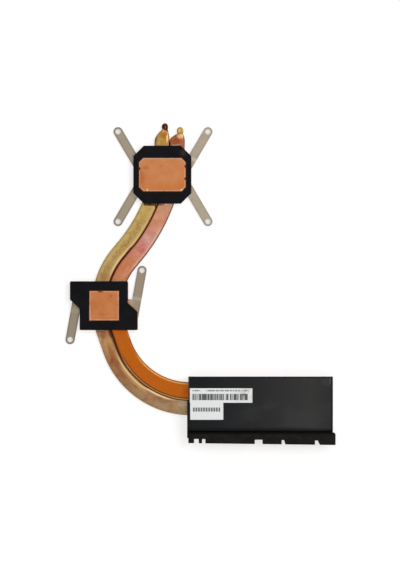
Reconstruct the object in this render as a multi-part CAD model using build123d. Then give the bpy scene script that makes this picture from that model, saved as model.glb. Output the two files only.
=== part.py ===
from build123d import *
import math
import os

os.makedirs("parts", exist_ok=True)

# A laptop heatsink: two flattened heat pipes carry heat from two copper cold plates to a fin stack.
# Frame, in millimetres: the origin is the centre of the processor contact face, +Z leaves that face,
# +Y runs along the object towards the closed pipe ends, and +X towards the fin stack's far end.

# Heat pipes: round tubes pressed flat, side by side
PIPE_WIDTH = 8.9
PIPE_THICK = 2.0
PIPE_GAP = 0.06
INNER_WIDENING = 1.7  # the inner pipe is pressed this much wider, outwards, through the last bend
WIDENING_STEPS = 6

# Route of the middle line between the pipes, from the processor plate down to the fin stack
PAIR_X = 4.3
FIRST_BEND_Y = 19.5
FIRST_BEND_RADIUS = 100.4
FIRST_BEND_TURN = 39.9
SLANT_RUN = 5.5
PLATE_BEND_RADIUS = 43.3
PLATE_BEND_TURN = 59.2
LEVEL_RUN = 9.9
LAST_BEND_RADIUS = 45.8
PIPE_END_INSET = 3.0  # from the fin stack's far end to the pipes' ends
PIPE_TAPER = 2.5
PIPE_TAPER_WIDTH = 5.0

# Closed pipe ends above the processor plate, each drawn to a neck with a pinched tip
OUTER_SHOULDER_Y = 19.7
OUTER_SHOULDER = 7.1
OUTER_NECK = 3.3
OUTER_TIP = 3.6
OUTER_TIP_WIDTH = 3.6
INNER_SHOULDER_Y = 20.2
INNER_SHOULDER = 4.2
INNER_NECK = 3.0
INNER_TIP = 3.7
INNER_TIP_WIDTH = 3.7
TIP_OFFSET = 1.7  # the tips lean to +X of their pipes
TIP_ROUND = 0.8
NECK_OVERLAP = 1.0  # how far a tip runs back into its neck
SHOULDER_STEPS = 6

# Processor cold plate: an eight-sided copper plate with a raised contact pad
CPU_FILM_SIZE = 34.2
CPU_FILM_CORNER = 6.2
CPU_PAD_X = 27.7
CPU_PAD_Y = 19.9
CPU_PAD_CORNER = 2.6
CPU_PAD_RISE = 1.0
PLATE_THICK = 1.5
PAD_BEVEL = 0.35
NICK_RADIUS = 0.7
NICKS = [(1, 4.9), (1, -2.4), (-1, 3.5)]  # side of the processor pad, and distance along that side

# Graphics cold plate: a Z-shaped copper plate with a square contact pad
GPU_OFFSET_X = -1.6  # the pad's centre, from the pipes' middle line at the crest of the plate bend
GPU_OFFSET_Y = -0.3
GPU_FILM_BODY_HALF = 14.2
GPU_FILM_EAR_HALF = 19.9
GPU_FILM_HALF_Y = 14.4
GPU_EAR_START = 1.7
GPU_EAR_FULL = -3.6
GPU_CORNER = 0.8
GPU_PAD = 17.6
GPU_PAD_RISE = 1.4
GPU_FILM_SHIFT = 0.25  # the film is stuck on a little towards -X and bares the plate's +X edge

# Insulating films with windows for the pads
FILM_THICK = 0.3
WINDOW_CLEARANCE = 0.35

# Spring arms: stamped steel strips riveted under the plates, with an offset bend and a screw hole
SPRING_THICK = 0.6
ARM_WIDTH = 5.4
SCREW_HOLE = 3.2
ARM_DROP = 0.9
ARM_BEND_RUN = 2.0
CPU_HOLE_SPACING = 53.0
CPU_HOLES_X = 0.4  # the screw holes' centre, from the pad's centre
CPU_HOLES_Y = -1.1
CPU_ARM_MEET_X = 10.9  # where the centre lines of one spring's two arms meet
CPU_BAR_HALF = 8.0
GPU_HOLES_X = 1.1  # the screw holes' centre, from the pad's centre
GPU_HOLES_Y = 0.4
GPU_HOLE_X = 21.2  # from the holes' centre to each hole
GPU_HOLE_Y = 20.4
GPU_ARM_LEAN = 10.2
GPU_ARM_BEND = 18.0  # from the screw hole to the bend
GPU_ARM_LENGTH = 34.0  # from the screw hole to the riveted end
GPU_TAB_WIDTH = 8.2
SPRING_CLEARANCE = 0.4  # between a spring and the nearest pipe

# Rivets
RIVET_SHANK = 1.6
RIVET_HEAD = 2.8
RIVET_HEAD_RISE = 0.7
RIVET_CLEARANCE = 0.05
CPU_RIVET_HALF_SPACING = 4.5
GPU_RIVET_INSET = 3.0  # from the arm's riveted end to the nearer rivet
GPU_RIVET_SPACING = 5.0

# Fin stack: folded aluminium fins locked side by side, open front to back
STACK_LEAD = 0.9  # the stack starts this far ahead of the last bend's end
STACK_LENGTH = 85.0
STACK_INLET_REACH = 12.3  # from the pipes' middle line to the inlet face
STACK_DEPTH = 29.9
STACK_HEIGHT = 9.5
FIN_PITCH = 1.35
FIN_THICK = 0.3
PIPE_SLOT_CLEARANCE = 0.2

# Cover film over the fins, rolled down past the outlet to a flange, and the foam seal strip on that flange
COVER_THICK = 0.3
COVER_ROLL = 2.5
COVER_CUTBACK = 0.9  # over the inner pipe
COVER_OVERHANG = 0.7  # past the stack's near end, over the outer pipe and at the vent side
FLANGE_SETBACK = 0.4  # from the flange's edge to the notches' roots
SEAL_CLEARANCE = 0.1  # from the roll to the strip
SEAL_THICK = 2.4
SEAL_WIDTH_NEAR = 6.3
SEAL_WIDTH_FAR = 7.4
SEAL_OVERHANG = 1.6
SEAL_CORNER = 1.4
NOTCH_DEPTH = 2.5
# Notches: start from the strip's near end, width at the root, and how far the far side splays outwards
NOTCHES = [(3.4, 2.7, 0), (8.1, 1.9, 0), (39.1, 4.5, 0), (54.9, 1.4, 0.7), (74.5, 1.6, 1.2)]

# Paper labels on the cover film
LABEL_THICK = 0.15
LABEL_SETBACK = 6.8  # from the inlet edge
LOWER_LABEL_INSET = 0.2
UPPER_LABEL_LENGTH = 36.75
UPPER_LABEL_WIDTH = 8.5
LOWER_LABEL_LENGTH = 19.45
LOWER_LABEL_WIDTH = 10.0

# Levels
cpu_plate_top = -CPU_PAD_RISE
pipe_top = cpu_plate_top - PLATE_THICK
pipe_mid = pipe_top - PIPE_THICK / 2
base = pipe_top - PIPE_THICK
stack_top = base + STACK_HEIGHT
cover_top = stack_top + COVER_THICK
gpu_face = cpu_plate_top + GPU_PAD_RISE

# Middle line between the pipes: the plate bend's centre, then the last bend's centre and end
slant = math.radians(FIRST_BEND_TURN)
lean = math.radians(PLATE_BEND_TURN - FIRST_BEND_TURN)
plate_bend_x = (
    PAIR_X
    - FIRST_BEND_RADIUS * (1 - math.cos(slant))
    - SLANT_RUN * math.sin(slant)
    + PLATE_BEND_RADIUS * math.cos(slant)
)
plate_bend_y = (
    FIRST_BEND_Y
    - FIRST_BEND_RADIUS * math.sin(slant)
    - SLANT_RUN * math.cos(slant)
    - PLATE_BEND_RADIUS * math.sin(slant)
)
bend_step = LAST_BEND_RADIUS - PLATE_BEND_RADIUS
last_bend_x = plate_bend_x + bend_step * math.cos(lean) + LEVEL_RUN * math.sin(lean)
last_bend_y = plate_bend_y + bend_step * math.sin(lean) - LEVEL_RUN * math.cos(lean)
middle_end_y = last_bend_y - LAST_BEND_RADIUS

# Shared places
pipe_offset = (PIPE_WIDTH + PIPE_GAP) / 2
pair_half = PIPE_WIDTH + PIPE_GAP / 2
cpu_plate_half = CPU_FILM_SIZE / 2
gpu_x = plate_bend_x - PLATE_BEND_RADIUS + GPU_OFFSET_X
gpu_y = plate_bend_y + GPU_OFFSET_Y
gpu_holes_x = gpu_x + GPU_HOLES_X
gpu_holes_y = gpu_y + GPU_HOLES_Y
stack_x = last_bend_x - STACK_LEAD
stack_end_x = stack_x + STACK_LENGTH
stack_inlet_y = middle_end_y + STACK_INLET_REACH
stack_outlet_y = stack_inlet_y - STACK_DEPTH
flange_top = stack_top - COVER_ROLL
seal_inner_y = stack_outlet_y - COVER_ROLL - COVER_THICK - SEAL_CLEARANCE
cpu_spring_inner = PAIR_X + pair_half + SPRING_CLEARANCE
rivet_hole = RIVET_SHANK / 2 + RIVET_CLEARANCE


def save(node, shape):
    """Write one node, under the node's own name."""
    shape.label = node
    export_step(shape, f"parts/{node}.step")


def flat(sketch, low, high):
    """A flat piece: an outline in XY, filled between two levels."""
    return Pos(0, 0, low) * extrude(sketch, high - low, dir=(0, 0, 1))


def pipe_section(width):
    return SlotOverall(width, PIPE_THICK)


def across_y(x, y):
    """A plane across the pipe where it runs along Y: local x is X, local y is Z."""
    return Plane((x, y, pipe_mid), x_dir=(1, 0, 0), z_dir=(0, 1, 0))


def across_x(x, y):
    """A plane across the pipe where it runs along X: local x is Y, local y is Z."""
    return Plane((x, y, pipe_mid), x_dir=(0, 1, 0), z_dir=(1, 0, 0))


def pipe_route(side, shoulder_y, spread):
    """Straights and tangent arcs of one pipe, offset to +X (side 1) or -X (side -1) of the middle line."""
    start_x = PAIR_X + side * pipe_offset
    last_turn = 90 + FIRST_BEND_TURN - PLATE_BEND_TURN
    top = Line((start_x, shoulder_y, pipe_mid), (start_x, FIRST_BEND_Y, pipe_mid))
    first = JernArc(top @ 1, top % 1, FIRST_BEND_RADIUS + side * pipe_offset, -FIRST_BEND_TURN)
    slope = Line(first @ 1, (first @ 1) + (first % 1) * SLANT_RUN)
    plate = JernArc(slope @ 1, slope % 1, PLATE_BEND_RADIUS - side * pipe_offset, PLATE_BEND_TURN)
    level = Line(plate @ 1, (plate @ 1) + (plate % 1) * (LEVEL_RUN + spread))
    last = JernArc(level @ 1, level % 1, LAST_BEND_RADIUS - side * pipe_offset, last_turn)
    return Curve() + [top, first, slope, plate, level], last


def heat_pipe(side, spread, widening, shoulder_y, shoulder, neck, tip, tip_width):
    """A flattened pipe with a necked, pinched end at the top and a tapered end in the fin stack."""
    start_x = PAIR_X + side * pipe_offset
    upper, last = pipe_route(side, shoulder_y, spread)
    body = sweep(across_y(start_x, shoulder_y) * pipe_section(PIPE_WIDTH), upper)

    stations = []
    for step in range(WIDENING_STEPS + 1):
        along = step / WIDENING_STEPS
        ahead = last % along
        inwards = Vector(-ahead.Y, ahead.X, 0)
        station = Plane((last @ along) - inwards * (widening * along / 2), x_dir=inwards, z_dir=ahead)
        stations.append(station * pipe_section(PIPE_WIDTH + widening * along))
    body += loft(stations)

    end_y = (last @ 1).Y - widening / 2
    end_width = PIPE_WIDTH + widening
    taper_x = stack_end_x - PIPE_END_INSET - PIPE_TAPER
    body += extrude(stations[-1], taper_x - (last @ 1).X)
    body += loft([
        across_x(taper_x, end_y) * pipe_section(end_width),
        across_x(taper_x + PIPE_TAPER, end_y) * pipe_section(PIPE_TAPER_WIDTH),
    ])

    neck_x = start_x + TIP_OFFSET
    neck_y = shoulder_y + shoulder
    sections = []
    for step in range(SHOULDER_STEPS + 1):
        along = step / SHOULDER_STEPS
        drawn = 1 - math.cos(along * math.pi / 2)
        station = across_y(start_x + TIP_OFFSET * drawn, shoulder_y + shoulder * along)
        sections.append(station * pipe_section(PIPE_WIDTH + (neck - PIPE_WIDTH) * drawn))
    body += loft(sections, ruled=True)

    tip_length = tip + NECK_OVERLAP
    tip_outline = Pos(neck_x, neck_y + tip / 2 - NECK_OVERLAP / 2) * SlotOverall(tip_length, tip_width, 90)
    pinch = flat(tip_outline, base, pipe_top)
    body += fillet(pinch.edges(), TIP_ROUND)
    return body, end_y, end_width


def octagon(size, corner):
    return chamfer(Rectangle(size, size).vertices(), corner)


def cpu_pad(grow):
    """Outline of the processor pad, or of its window when grown by a clearance."""
    outline = Rectangle(CPU_PAD_X + 2 * grow, CPU_PAD_Y + 2 * grow)
    return chamfer(outline.vertices(), CPU_PAD_CORNER)


def gpu_outline():
    """The Z-shaped outline, the same when turned by half a turn about the pad's centre."""
    half = [
        (-GPU_FILM_EAR_HALF, GPU_FILM_HALF_Y),
        (GPU_FILM_BODY_HALF, GPU_FILM_HALF_Y),
        (GPU_FILM_BODY_HALF, GPU_EAR_START),
        (GPU_FILM_EAR_HALF, GPU_EAR_FULL),
    ]
    turned = [(-x, -y) for x, y in half]
    outline = Polygon(*half, *turned, align=None)
    return fillet(outline.vertices(), GPU_CORNER)


def raised_pad(outline, low, high):
    """A contact pad with a bevelled upper edge."""
    pad = flat(outline, low, high)
    return chamfer(pad.faces().sort_by(Axis.Z)[-1].edges(), PAD_BEVEL)


def rivet_holes(places):
    return Sketch() + [Pos(x, y) * Circle(rivet_hole) for x, y in places]


def cpu_plate():
    plate = flat(octagon(CPU_FILM_SIZE, CPU_FILM_CORNER), pipe_top, cpu_plate_top)
    pad_outline = cpu_pad(0)
    for side, along in NICKS:
        pad_outline -= Pos(side * CPU_PAD_X / 2, along) * Circle(NICK_RADIUS)
    plate += raised_pad(pad_outline, cpu_plate_top, 0)
    return plate - flat(rivet_holes(cpu_rivets), pipe_top, cpu_plate_top)


def gpu_plate():
    plate = flat(gpu_outline(), pipe_top, cpu_plate_top)
    plate += raised_pad(Rectangle(GPU_PAD, GPU_PAD), cpu_plate_top, gpu_face)
    plate = Pos(gpu_x, gpu_y, 0) * plate
    return plate - flat(rivet_holes(gpu_rivets), pipe_top, cpu_plate_top)


def cpu_film():
    outline = octagon(CPU_FILM_SIZE, CPU_FILM_CORNER) - cpu_pad(WINDOW_CLEARANCE)
    return flat(outline, cpu_plate_top, cpu_plate_top + FILM_THICK)


def gpu_film():
    window = GPU_PAD + 2 * WINDOW_CLEARANCE
    outline = Pos(-GPU_FILM_SHIFT, 0) * gpu_outline() - Rectangle(window, window)
    return Pos(gpu_x, gpu_y, 0) * flat(outline, cpu_plate_top, cpu_plate_top + FILM_THICK)


def spring_arm(length, bend):
    """A strip along +X from its screw hole at the origin, bent up to the plate's underside."""
    tip = ARM_WIDTH / 2
    top = pipe_top
    low = pipe_top - ARM_DROP
    side = Polygon(
        (-tip, low), (bend - ARM_BEND_RUN, low), (bend, top), (length, top),
        (length, top - SPRING_THICK), (bend, top - SPRING_THICK),
        (bend - ARM_BEND_RUN, low - SPRING_THICK), (-tip, low - SPRING_THICK),
        align=None,
    )
    strip = extrude(Plane.XZ * side, tip, both=True)
    plan = Circle(tip) + Pos(length / 2, 0) * Rectangle(length, ARM_WIDTH) - Circle(SCREW_HOLE / 2)
    return strip & flat(plan, base, top)


def cpu_spring():
    """The +X spring: two arms from one bar beside the pipes."""
    hole = CPU_HOLE_SPACING / 2
    hole_x = CPU_HOLES_X + hole
    reach = hole - CPU_ARM_MEET_X
    tilt = math.degrees(math.atan2(hole, reach))
    length = math.hypot(hole, reach)
    bend = (hole_x - cpu_plate_half) / math.cos(math.radians(tilt))
    bar_length = cpu_plate_half - cpu_spring_inner
    bar = Pos(cpu_spring_inner + bar_length / 2, CPU_HOLES_Y) * Rectangle(bar_length, 2 * CPU_BAR_HALF)
    spring = flat(bar, pipe_top - SPRING_THICK, pipe_top)
    for sign in (1, -1):
        place = Pos(hole_x, CPU_HOLES_Y + sign * hole) * Rot(0, 0, sign * (tilt + 180))
        spring += place * spring_arm(length, bend)
    spring -= Pos(0, CPU_HOLES_Y) * flat(Rectangle(2 * cpu_spring_inner, CPU_HOLE_SPACING), base, 0)
    return spring - flat(rivet_holes(cpu_rivets), base, 0)


def gpu_spring():
    """The +X spring: one arm with a wider riveted tab."""
    arm = spring_arm(GPU_ARM_LENGTH, GPU_ARM_BEND)
    tab_length = GPU_ARM_LENGTH - GPU_ARM_BEND
    tab_middle = (ARM_WIDTH - GPU_TAB_WIDTH) / 2
    tab = Pos(GPU_ARM_BEND + tab_length / 2, tab_middle) * Rectangle(tab_length, GPU_TAB_WIDTH)
    arm += flat(tab, pipe_top - SPRING_THICK, pipe_top)
    spring = Pos(gpu_holes_x + GPU_HOLE_X, gpu_holes_y + GPU_HOLE_Y) * Rot(0, 0, -90 - GPU_ARM_LEAN) * arm
    inner = Rectangle(2 * (gpu_spring_inner - gpu_holes_x), 2 * GPU_HOLE_Y)
    spring -= Pos(gpu_holes_x, gpu_holes_y) * flat(inner, base, 0)
    return spring - flat(rivet_holes(gpu_rivets), base, 0)


def rivets(places):
    """Solid rivets: flush in the plate's top, with a low round head under the spring."""
    low = pipe_top - SPRING_THICK
    head_radius = (RIVET_HEAD**2 / 4 + RIVET_HEAD_RISE**2) / (2 * RIVET_HEAD_RISE)
    ball = Pos(0, 0, low - RIVET_HEAD_RISE + head_radius) * Sphere(head_radius)
    head = ball & flat(Circle(RIVET_HEAD), low - RIVET_HEAD_RISE, low)
    rivet = head + flat(Circle(RIVET_SHANK / 2), low, cpu_plate_top)
    return Compound(children=[Pos(x, y) * rivet for x, y in places])


def fin_stack(pipes):
    """All fins as one piece, closed above and below by their folded edges, recessed for the pipes' ends."""
    gaps = round((STACK_LENGTH - FIN_THICK) / FIN_PITCH)
    pitch = (STACK_LENGTH - FIN_THICK) / gaps
    middle = (base + stack_top) / 2
    channel = Rectangle(pitch - FIN_THICK, STACK_HEIGHT - 2 * FIN_THICK)
    channels = [Pos(stack_x + FIN_THICK / 2 + (i + 0.5) * pitch, middle) * channel for i in range(gaps)]
    face = Pos(stack_x + STACK_LENGTH / 2, middle) * Rectangle(STACK_LENGTH, STACK_HEIGHT) - channels
    stack = extrude(Plane.XZ.offset(-stack_inlet_y) * face, STACK_DEPTH)
    for y, width in pipes:
        slot = Rectangle(STACK_LENGTH, width + 2 * PIPE_SLOT_CLEARANCE)
        slot = Pos(stack_x + STACK_LENGTH / 2, y) * slot
        stack += flat(slot, pipe_top, pipe_top + FIN_THICK)
        stack -= flat(slot, base, pipe_top)
    return stack


def cover_film(step_y):
    """A sheet on the fins that rolls down beyond the outlet and folds out to a flange."""
    roll_out = stack_outlet_y - COVER_ROLL
    flange_low = flange_top - COVER_THICK
    flange_out = seal_inner_y - SEAL_WIDTH_NEAR + NOTCH_DEPTH + FLANGE_SETBACK
    run = Line((stack_inlet_y, stack_top), (stack_outlet_y, stack_top))
    roll = RadiusArc(run @ 1, (roll_out, flange_top), -COVER_ROLL)
    fold = Line(roll @ 1, (roll_out, flange_low))
    under = Line(fold @ 1, (flange_out, flange_low))
    edge = Line(under @ 1, (flange_out, flange_top))
    upper = Line(edge @ 1, (roll_out - COVER_THICK, flange_top))
    roll_up = RadiusArc(upper @ 1, (stack_outlet_y, cover_top), COVER_ROLL + COVER_THICK)
    back = Line(roll_up @ 1, (stack_inlet_y, cover_top))
    close = Line(back @ 1, run @ 0)
    section = make_face(Curve() + [run, roll, fold, under, edge, upper, roll_up, back, close])
    near_x = stack_x - COVER_OVERHANG
    sheet = extrude(Plane((near_x, 0, 0), x_dir=(0, 1, 0), z_dir=(1, 0, 0)) * section, stack_end_x - near_x)
    cut_width = COVER_OVERHANG + COVER_CUTBACK
    cut_length = stack_inlet_y - step_y
    cut = Pos(near_x + cut_width / 2, step_y + cut_length / 2) * Rectangle(cut_width, cut_length)
    return sheet - flat(cut, stack_top, cover_top)


def vent_seal():
    """A foam strip with notches in its outer edge, a little wider at its far end."""
    length = STACK_LENGTH + SEAL_OVERHANG
    end_x = stack_x + length
    near = seal_inner_y - SEAL_WIDTH_NEAR
    far = seal_inner_y - SEAL_WIDTH_FAR
    outline = Polygon(
        (stack_x, seal_inner_y), (stack_x, near), (end_x, far), (end_x, seal_inner_y), align=None
    )
    corner = outline.vertices().sort_by(Axis.X)[-2:].sort_by(Axis.Y)[-1]
    outline = fillet(corner, SEAL_CORNER)
    for start, width, splay in NOTCHES:
        x = stack_x + start
        edge = near + (far - near) * start / length
        root = edge + NOTCH_DEPTH
        mouth = far - NOTCH_DEPTH
        mouth_splay = splay * (root - mouth) / NOTCH_DEPTH
        far_x = x + width
        notch = [(x, root), (x, mouth), (far_x + mouth_splay, mouth), (far_x, root)]
        outline -= Polygon(*notch, align=None)
    return flat(outline, flange_top, flange_top + SEAL_THICK)


def label(x, length, width, top_y):
    outline = Pos(x + length / 2, top_y - width / 2) * Rectangle(length, width)
    return flat(outline, cover_top, cover_top + LABEL_THICK)


# Rivets of the processor springs, beside the pipes on both sides
cpu_rivet_reach = (cpu_spring_inner + cpu_plate_half) / 2 - CPU_HOLES_X
cpu_rivets = [
    (CPU_HOLES_X + side * cpu_rivet_reach, CPU_HOLES_Y + end * CPU_RIVET_HALF_SPACING)
    for side in (1, -1)
    for end in (1, -1)
]

# Rivets of the graphics springs, along each arm's centre line
arm_x = -math.sin(math.radians(GPU_ARM_LEAN))
arm_y = -math.cos(math.radians(GPU_ARM_LEAN))
last_rivet_run = GPU_ARM_LENGTH - GPU_RIVET_INSET
gpu_rivet_runs = [last_rivet_run - GPU_RIVET_SPACING, last_rivet_run]
gpu_rivets = [
    (gpu_holes_x + side * (GPU_HOLE_X + run * arm_x), gpu_holes_y + side * (GPU_HOLE_Y + run * arm_y))
    for side in (1, -1)
    for run in gpu_rivet_runs
]

# The pipes' edge beside the graphics spring's tab
tab_end_y = gpu_holes_y + GPU_HOLE_Y + GPU_ARM_LENGTH * arm_y
edge_radius = PLATE_BEND_RADIUS - pair_half
pair_edge_x = plate_bend_x - math.sqrt(edge_radius**2 - (tab_end_y - plate_bend_y) ** 2)
gpu_spring_inner = pair_edge_x + SPRING_CLEARANCE

outer_spread = INNER_WIDENING / math.cos(lean)  # a longer run ahead of the last bend clears the wider pipe
pipe_outer, outer_y, outer_width = heat_pipe(
    -1, outer_spread, 0, OUTER_SHOULDER_Y, OUTER_SHOULDER, OUTER_NECK, OUTER_TIP, OUTER_TIP_WIDTH
)
pipe_inner, inner_y, inner_width = heat_pipe(
    1, 0, INNER_WIDENING, INNER_SHOULDER_Y, INNER_SHOULDER, INNER_NECK, INNER_TIP, INNER_TIP_WIDTH
)
cpu_spring_right = cpu_spring()
gpu_spring_right = gpu_spring()
gpu_holes_axis = Axis((gpu_holes_x, gpu_holes_y, 0), (0, 0, 1))

save("heat_pipe_outer", pipe_outer)
save("heat_pipe_inner", pipe_inner)
save("cpu_cold_plate", cpu_plate())
save("gpu_cold_plate", gpu_plate())
save("cpu_insulating_film", cpu_film())
save("gpu_insulating_film", gpu_film())
save("cpu_spring_right", cpu_spring_right)
save("cpu_spring_left", mirror(cpu_spring_right, Plane.YZ.offset(CPU_HOLES_X)))
save("gpu_spring_right", gpu_spring_right)
save("gpu_spring_left", gpu_spring_right.rotate(gpu_holes_axis, 180))
save("cpu_spring_rivets", rivets(cpu_rivets))
save("gpu_spring_rivets", rivets(gpu_rivets))
save("fin_stack", fin_stack([(outer_y, outer_width), (inner_y, inner_width)]))
save("fin_cover_film", cover_film((outer_y + inner_y) / 2))
save("vent_seal_strip", vent_seal())
label_x = stack_x + COVER_CUTBACK
label_y = stack_inlet_y - LABEL_SETBACK
lower_label_y = label_y - UPPER_LABEL_WIDTH
save("label_upper", label(label_x, UPPER_LABEL_LENGTH, UPPER_LABEL_WIDTH, label_y))
save("label_lower", label(label_x + LOWER_LABEL_INSET, LOWER_LABEL_LENGTH, LOWER_LABEL_WIDTH, lower_label_y))
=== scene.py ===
import math

import bpy
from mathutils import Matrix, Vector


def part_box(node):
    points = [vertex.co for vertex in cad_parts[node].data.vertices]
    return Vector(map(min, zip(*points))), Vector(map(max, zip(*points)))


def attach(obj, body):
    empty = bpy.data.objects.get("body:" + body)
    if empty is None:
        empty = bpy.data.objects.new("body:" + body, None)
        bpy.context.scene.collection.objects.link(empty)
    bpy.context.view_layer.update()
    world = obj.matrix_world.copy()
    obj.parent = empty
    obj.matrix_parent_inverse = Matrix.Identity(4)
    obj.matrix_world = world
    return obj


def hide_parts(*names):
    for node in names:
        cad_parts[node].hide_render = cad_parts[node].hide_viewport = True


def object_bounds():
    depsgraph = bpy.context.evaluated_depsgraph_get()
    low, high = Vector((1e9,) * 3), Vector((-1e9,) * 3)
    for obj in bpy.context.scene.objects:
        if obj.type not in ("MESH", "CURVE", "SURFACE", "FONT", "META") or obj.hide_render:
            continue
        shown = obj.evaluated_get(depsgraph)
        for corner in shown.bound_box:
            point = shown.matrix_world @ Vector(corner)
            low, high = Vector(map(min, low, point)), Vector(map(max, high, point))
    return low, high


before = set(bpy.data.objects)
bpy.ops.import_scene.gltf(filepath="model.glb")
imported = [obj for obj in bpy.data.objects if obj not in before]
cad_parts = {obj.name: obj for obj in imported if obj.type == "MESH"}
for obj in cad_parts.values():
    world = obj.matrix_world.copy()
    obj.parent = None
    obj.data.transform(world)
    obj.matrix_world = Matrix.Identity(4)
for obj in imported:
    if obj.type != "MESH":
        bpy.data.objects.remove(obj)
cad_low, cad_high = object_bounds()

# Photo scale: the processor pad's centre is the origin, and the view is straight down
MM = 0.001
PHOTO_WIDTH = 400
PHOTO_HEIGHT = 570
PIXEL = 0.589 * MM
PAD_PIXEL_X = 162.3
PAD_PIXEL_Y = 174.65

# Route of the middle line between the pipes, as in the solids
PAIR_X = 4.3 * MM
FIRST_BEND_Y = 19.5 * MM
FIRST_BEND_RADIUS = 100.4 * MM
FIRST_BEND_TURN = math.radians(39.9)
SLANT_RUN = 5.5 * MM
PLATE_BEND_RADIUS = 43.3 * MM
PLATE_BEND_TURN = math.radians(59.2)
LEVEL_RUN = 9.9 * MM
LAST_BEND_RADIUS = 45.8 * MM
INNER_WIDENING = 1.7 * MM
PIPE_WIDTH = 8.9 * MM
PIPE_GAP = 0.06 * MM
PIPE_OFFSET = (PIPE_WIDTH + PIPE_GAP) / 2
OUTER = -1
INNER = 1

# Spring arms
CPU_HOLES = (0.4 * MM, -1.1 * MM)
CPU_HOLE_HALF = 26.5 * MM
CPU_ARM_MEET = 10.9 * MM
ARM_HALF = 2.7 * MM
ARM_BEND_RUN = 2.0 * MM
CPU_FILM_HALF = 17.1 * MM
GPU_ARM_BEND = 18.0 * MM
GPU_ARM_LEAN = math.radians(10.2)
ARM_LINES_ACROSS = 5200
ARM_LINES_ALONG = 160
right_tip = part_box("gpu_spring_right")[1]
left_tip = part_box("gpu_spring_left")[0]
GPU_HOLES = ((right_tip[0] + left_tip[0]) / 2, (right_tip[1] + left_tip[1]) / 2)
GPU_HOLE_X = right_tip[0] - GPU_HOLES[0] - ARM_HALF
GPU_HOLE_Y = right_tip[1] - GPU_HOLES[1] - ARM_HALF

# Contact pads: half sizes and the chamfer across the corners
CPU_PAD = (13.85 * MM, 9.95 * MM, 2.6 * MM)
GPU_PAD = (8.8 * MM, 8.8 * MM, 0)

# Foam strip: outer edge from the near to the far end, and the notches in it: start, width and splay
SEAL_NEAR = 6.3 * MM
SEAL_FAR = 7.4 * MM
SEAL_CORNER = 1.4 * MM
SEAL_SOFT_EDGE = 0.28 * MM
NOTCH_DEPTH = 2.5 * MM
NOTCHES = [
    (3.4 * MM, 2.7 * MM, 0),
    (8.1 * MM, 1.9 * MM, 0),
    (39.1 * MM, 4.5 * MM, 0),
    (54.9 * MM, 1.4 * MM, 0.7 * MM),
    (74.5 * MM, 1.6 * MM, 1.2 * MM),
]

# Solder beads: plate, its end (1 upper, -1 lower), pipe, span across it and run in millimetres, solder
BEAD_RISE = 0.8 * MM
BEAD_SINK = 0.2 * MM
BEAD_UNEVENNESS = 0.3 * MM
BEAD_TAPER = 0.8 * BEAD_RISE
BEADS = {
    "solder_cpu_lower_outer": ("cpu_cold_plate", -1, OUTER, (-3.5, 4.0), 1.1, "dark_solder"),
    "solder_cpu_lower_inner": ("cpu_cold_plate", -1, INNER, (-0.8, 2.8), 1.6, "pale_solder"),
    "solder_cpu_upper_inner": ("cpu_cold_plate", 1, INNER, (-3.2, 3.0), 0.9, "pinkish_solder"),
    "solder_gpu_lower_outer": ("gpu_cold_plate", -1, OUTER, (-3.4, 1.6), 1.4, "greyish_solder"),
    "solder_gpu_upper_inner": ("gpu_cold_plate", 1, INNER, (-3.0, 3.2), 0.9, "pinkish_solder"),
}
SOLDER_TONES = {
    "pinkish_solder": ("#a87a62", "#c99c86"),
    "pale_solder": ("#c29c82", "#e2c2a8"),
    "greyish_solder": ("#82583f", "#a5806c"),
    # the darkest solder, for the bead under the processor plate's lower edge on the outer pipe
    "dark_solder": ("#4a2c18", "#7d5a38"),
}

# Print and soil on the labels, measured from a label's left end and down from its upper edge
DASH_PITCH = 0.4 * MM
DASH_SPAN = (1.0 * MM, 34.5 * MM)
DASH_ROW = (1.0 * MM, 1.8 * MM)
DASH_SHARE = 0.75
GROUP_PITCH = 3.1 * MM
GROUP_START = -40 * MM
GROUP_SHARE = 0.85
BAR_PITCH = 0.27 * MM
BAR_SHARE = 0.68
BAR_SPAN = (1.3 * MM, 34.0 * MM)
BAR_ROW = (3.3 * MM, 7.0 * MM)
BLOCK_PITCH = 1.5 * MM
BLOCK_WIDTH = 1.1 * MM
BLOCK_SPAN = (1.6 * MM, 17.6 * MM)
BLOCK_ROW = (2.8 * MM, 5.2 * MM)
SMUDGE_PIXEL = (243.4, 394.5)
SMUDGE_HALF = (1.5 * MM, 1.2 * MM)
SOIL_FADE = (22 * MM, 34 * MM)

# Colours of the pipes: place in millimetres and colour, in Y from the fins up, and across for the lip; the
# rim tones are painted shade along the gap and the lip tones painted light
OUTER_SIDE_TONES = [
    (-138, "#9f8462"),
    (-126, "#9a7652"),
    (-112, "#9a6f4b"),
    (-103.5, "#ab8258"),
    (-98, "#bd9464"),
    (-92, "#a27859"),
    (-63, "#ad8a62"),
    (-53, "#bca466"),
    (-20, "#bea462"),
    (17, "#a68a50"),
]
OUTER_MIDDLE_TONES = [
    (-138, "#a08664"),
    (-126, "#a27a55"),
    (-112, "#95603f"),
    (-103.5, "#a0663f"),
    (-98, "#b68a58"),
    (-92, "#9c6644"),
    (-63, "#a88658"),
    (-53, "#b19059"),
    (-20, "#bc9a56"),
    (17, "#a9874c"),
]
OUTER_RIM_SHADE_TONES = [(-120, "#704a22"), (-104, "#4c2208"), (-60, "#520600"), (0, "#5c0600")]
INNER_TONES = [
    (-132, "#b65e19"),
    (-102, "#b86018"),
    (-92, "#b55d1c"),
    (-63, "#b8744c"),
    (-54, "#bf7650"),
    (-48, "#c17c5e"),
    (-42, "#bd7768"),
    (-36, "#c08679"),
    (-29, "#c28160"),
    (-18, "#bd8769"),
    (17, "#a5633f"),
]
INNER_LIP_LIGHT_TONES = [(0, "#ffe2b8"), (0.7, "#cc925c")]
INNER_FAR_RIM_SHADE_TONES = [(-100, "#a85a24"), (-92, "#8a4418"), (-70, "#520600"), (0, "#5c0600")]
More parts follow.
